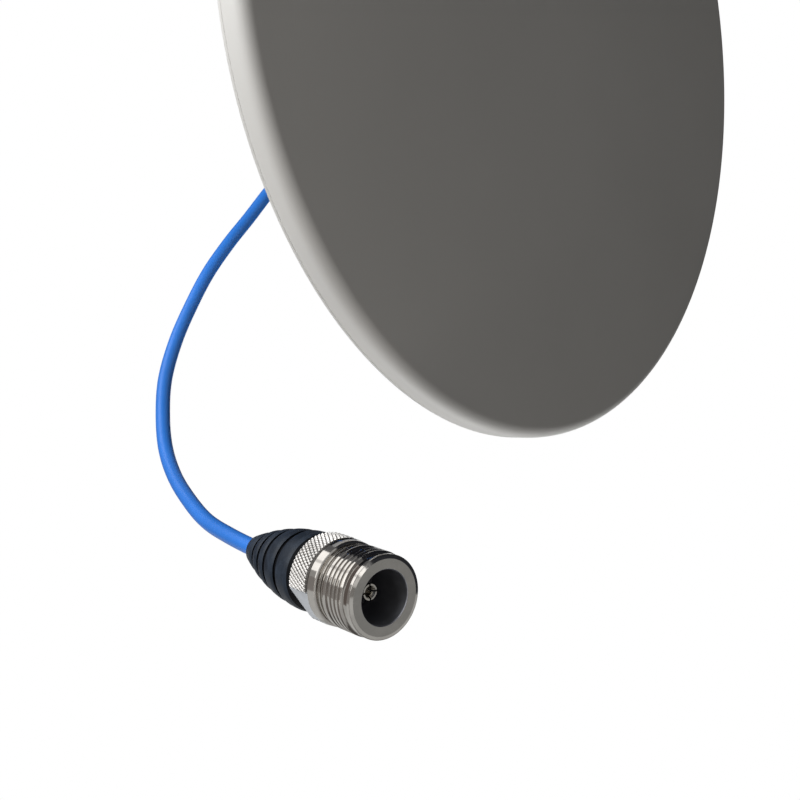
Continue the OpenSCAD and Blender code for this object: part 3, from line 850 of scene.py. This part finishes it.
def make_world():
    world = bpy.data.worlds.new("studio")
    world.use_nodes = True
    tree = world.node_tree
    seen = tree.nodes["Background"]
    seen.inputs["Color"].default_value = (1, 1, 1, 1)
    seen.inputs["Strength"].default_value = 1.0
    ambient = tree.nodes.new("ShaderNodeBackground")
    ambient.inputs["Color"].default_value = (1.0, 0.9, 0.81, 1)
    ambient.inputs["Strength"].default_value = 0.138
    out = light_path_mix(tree, seen.outputs["Background"], ambient.outputs["Background"])
    tree.links.new(out, tree.nodes["World Output"].inputs["Surface"])
    bpy.context.scene.world = world


def make_floor():
    """A pale floor that takes the object's shadow, and throws little light back on the disc's face."""
    z, reach = -460, 3000
    shape = Shape()
    corners = [(-reach, -reach, z), (reach, -reach, z), (reach, reach, z), (-reach, reach, z)]
    shape.add(corners, [(0, 1, 2, 3)])
    material, graph, links = new_material("floor")
    shader = shader_of(material)
    shader.inputs["Base Color"].default_value = (0.86, 0.86, 0.85, 1)
    shader.inputs["Roughness"].default_value = 0.9
    dim = graph.new("ShaderNodeBsdfDiffuse")
    dim.inputs["Color"].default_value = (0.12, 0.12, 0.12, 1)
    bounced = light_path_mix(material.node_tree, shader.outputs["BSDF"], dim.outputs["BSDF"])
    paint = graph.new("ShaderNodeBsdfDiffuse")
    paint.inputs["Color"].default_value = (0.36, 0.36, 0.355, 1)
    glow = graph.new("ShaderNodeEmission")
    glow.inputs["Color"].default_value = (0.6, 0.6, 0.595, 1)
    pale = graph.new("ShaderNodeAddShader")
    links.new(paint.outputs["BSDF"], pale.inputs[0])
    links.new(glow.outputs["Emission"], pale.inputs[1])
    path = graph.new("ShaderNodeLightPath")
    mix = graph.new("ShaderNodeMixShader")
    links.new(path.outputs["Is Camera Ray"], mix.inputs["Fac"])
    links.new(bounced, mix.inputs[1])
    links.new(pale.outputs["Shader"], mix.inputs[2])
    links.new(mix.outputs["Shader"], graph["Material Output"].inputs["Surface"])
    floor = shape.make("floor", [material])


def towards(right, up, forward):
    """A direction in the row frame from one given as seen in the picture."""
    v = right * Vector(CAMERA_RIGHT) + up * Vector(CAMERA_UP) + forward * Vector(CAMERA_FORWARD)
    return v.normalized()


def facing(direction, centre, distance):
    """A matrix at that distance from the centre in metres, whose -z axis looks back at the centre."""
    up = Vector(CAMERA_UP)
    up = (up - up.dot(direction) * direction).normalized()
    turn = Matrix((up.cross(direction), up, direction)).transposed().to_4x4()
    return Matrix.Translation(centre + direction * distance) @ turn


def make_light(name, matrix, size, power, colour=(1, 1, 1)):
    data = bpy.data.lights.new(name, "AREA")
    data.size = size
    data.energy = power
    data.color = colour
    light = bpy.data.objects.new(name, data)
    light.matrix_world = matrix
    bpy.context.scene.collection.objects.link(light)


# Cards beside the set, which only mirrors see, as the windows and dark flags of a studio.
WINDOW = (1.7, 1.68, 1.66)
GREY = (0.42, 0.42, 0.41)
SHADE = (0.14, 0.14, 0.145)
DARK = (0.03, 0.032, 0.038)
BLACK = (0.014, 0.015, 0.019)
DEEP_BLACK = (0.01, 0.011, 0.015)

# Each card is placed by the part of the connector that shows it in the photograph's view:
# from and to an angle round the axis, from and to a tilt towards the mouth, and the card's tone.
CARDS = (
    # Round surfaces
    (-180, -50, 20, 42, GREY),
    (-75, -50, -3, 20, GREY),
    (-50, -4, -3, 42, (0.6, 0.6, 0.59)),
    (-4, 14, -3, 42, (0.29, 0.27, 0.26)),
    (14, 22, -3, 20, (0.42, 0.41, 0.4)),
    (14, 33, 20, 42, WINDOW),
    (22, 33, -3, 20, WINDOW),
    (33, 37, -3, 42, (1.1, 1.08, 1.07)),
    (37, 51, -3, 42, WINDOW),
    (51, 62, -3, 42, SHADE),
    (62, 115, -3, 2, DEEP_BLACK),
    (62, 100, 2, 9, (0.42, 0.43, 0.45)),
    (62, 115, 9, 20, DEEP_BLACK),
    (62, 180, 20, 42, BLACK),
    # Bevels
    (-180, 62, 42, 54, (0.47, 0.465, 0.46)),
    (62, 180, 42, 54, DARK),
    # The thread's flanks
    (-180, -28, 54, 66, (0.1, 0.095, 0.09)),
    (-28, 51, 54, 66, (0.2, 0.18, 0.17)),
    (51, 62, 54, 66, SHADE),
    (62, 180, 54, 66, BLACK),
    # The front ring's low cone
    (-180, -20, 66, 78, (0.52, 0.52, 0.51)),
    (-20, 5, 66, 78, (0.62, 0.62, 0.61)),
    (5, 20, 66, 78, (0.27, 0.26, 0.25)),
    (20, 33, 66, 78, (0.8, 0.79, 0.78)),
    (33, 37, 66, 78, (0.5, 0.49, 0.48)),
    (37, 51, 66, 78, (1.8, 1.78, 1.76)),
    (51, 62, 66, 78, (0.25, 0.25, 0.255)),
    (62, 180, 66, 78, DARK),
    # The taper behind the front ring
    (-75, -8, -25, -3, (0.5, 0.5, 0.49)),
    (-8, 50, -25, -3, (0.15, 0.125, 0.115)),
    (50, 115, -25, -3, (0.012, 0.013, 0.016)),
    # The front face
    (-180, 180, 78, 90, (0.3, 0.3, 0.295)),
)
CARD_REACH = 380


def make_cards():
    """Bent cards on a ball round the connector, each where its surfaces mirror the photograph's view."""
    right, forward = Vector(CAMERA_RIGHT), Vector(CAMERA_FORWARD)
    middle = jack_point(10)
    view = (Vector(CAMERA_AT) / MM - middle).normalized()
    near = (JACK_AXIS.dot(forward) * right - JACK_AXIS.dot(right) * forward).normalized()
    above = near.cross(JACK_AXIS)
    shape, materials = Shape(), []

    def mirrored(turn, tilt):
        turn, tilt = math.radians(turn), math.radians(tilt)
        outward = math.cos(turn) * near + math.sin(turn) * above
        normal = math.cos(tilt) * outward + math.sin(tilt) * JACK_AXIS
        return middle + CARD_REACH * (2 * max(0.0, normal.dot(view)) * normal - view)

    turn_steps, tilt_steps = 12, 8
    for turn_0, turn_1, tilt_0, tilt_1, tone in CARDS:
        material, graph, links = new_material("card_%d" % len(materials))
        glow = graph.new("ShaderNodeEmission")
        glow.inputs["Color"].default_value = tone + (1.0,)
        links.new(glow.outputs["Emission"], graph["Material Output"].inputs["Surface"])
        rows = []
        for i in range(turn_steps + 1):
            turn = turn_0 + (turn_1 - turn_0) * i / turn_steps
            tilts = [tilt_0 + (tilt_1 - tilt_0) * j / tilt_steps for j in range(tilt_steps + 1)]
            rows.append([mirrored(turn, tilt) for tilt in tilts])
        shape.grid(rows, len(materials), wrap=False)
        materials.append(material)
    cards = shape.make("mirror_cards", materials)
    cards.visible_camera = False
    cards.visible_diffuse = False
    cards.visible_shadow = False
    cards.visible_transmission = False


make_world()
make_floor()
make_cards()

# The lamps, in metres and watts, aimed at the disc's side where the lead hangs
DISC_SIDE = Vector((0.08, 0.0, -0.01))
make_light("key", facing(towards(-0.68, 0.5, -0.5), DISC_SIDE, 0.9), 0.7, 8.1)
make_light("under", facing(towards(0.1, -0.9, 0.42), DISC_SIDE, 0.9), 0.6, 4.8)
make_light("front", facing(towards(-0.25, -0.3, -0.9), DISC_SIDE, 0.7), 0.4, 0.8, (1.0, 0.92, 0.84))
